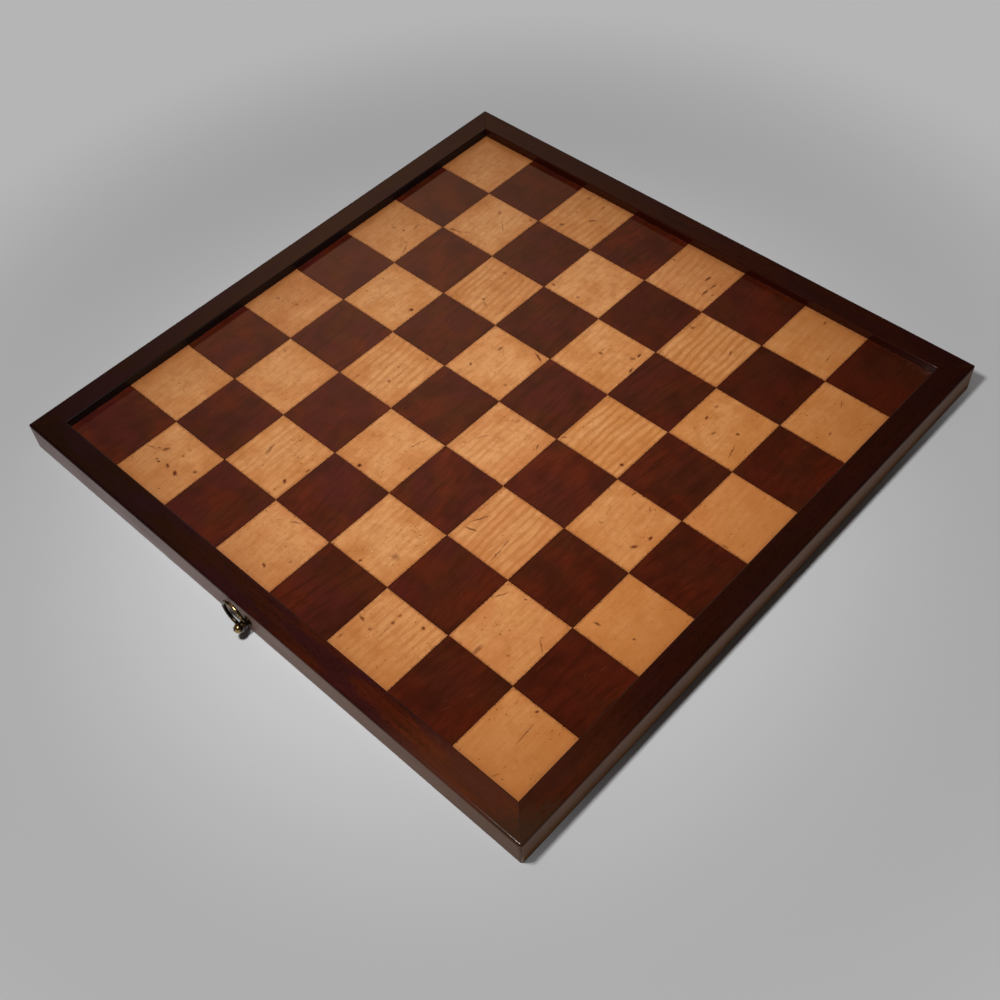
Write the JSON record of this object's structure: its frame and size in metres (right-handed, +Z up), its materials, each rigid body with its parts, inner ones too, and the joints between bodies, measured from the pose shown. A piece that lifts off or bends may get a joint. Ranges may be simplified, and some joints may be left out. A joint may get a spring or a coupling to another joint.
{
  "type": "game board",
  "caption": "Square draughts and chess board: raised mitred frame around light and dark inlaid squares, with a small hanging ring on a turned post in one side.",
  "frame": {"origin": "centre of the underside", "axes": "+X along the front side, -Y out of the front side, which carries the hanging ring, +Z up out of the playing surface"},
  "size_m": [0.388, 0.3971, 0.019],
  "materials": {
    "ground_wood": "plain planed, unpolished, darkened with age",
    "light_wood": "honey coloured, rippled figure, worn polish",
    "dark_wood": "red-brown, mottled, worn polish",
    "frame_wood": "dark red-brown, polished, edges rubbed",
    "tongue_wood": "plain, hidden in the joint",
    "aged_brass": "tarnished nearly black, bright where rubbed"
  },
  "bodies": {
    "board": {"ground_board_front": "ground_wood", "ground_board_middle": "ground_wood", "ground_board_back": "ground_wood", "light_squares_row_1": "light_wood", "light_squares_row_2": "light_wood", "light_squares_row_3": "light_wood", "light_squares_row_4": "light_wood", "light_squares_row_5": "light_wood", "light_squares_row_6": "light_wood", "light_squares_row_7": "light_wood", "light_squares_row_8": "light_wood", "dark_squares_row_1": "dark_wood", "dark_squares_row_2": "dark_wood", "dark_squares_row_3": "dark_wood", "dark_squares_row_4": "dark_wood", "dark_squares_row_5": "dark_wood", "dark_squares_row_6": "dark_wood", "dark_squares_row_7": "dark_wood", "dark_squares_row_8": "dark_wood", "frame_rail_front": "frame_wood", "frame_rail_back": "frame_wood", "frame_rail_left": "frame_wood", "frame_rail_right": "frame_wood", "mitre_tongues": "tongue_wood"},
    "post": {"hanger_post": "aged_brass"},
    "ring": {"hanging_ring": "aged_brass"}
  },
  "joints": [
    {"name": "post_turn", "type": "hinge", "parent": "board", "child": "post", "pos_m": [0.002, -0.194, 0.0095], "axis": [0, 1, 0], "range_deg": [0, 90]},
    {"name": "ring_swing", "type": "hinge", "parent": "post", "child": "ring", "pos_m": [0.002, -0.1964, 0.0095], "axis": [0, 0, 1], "range_deg": [-3, 183]}
  ]
}
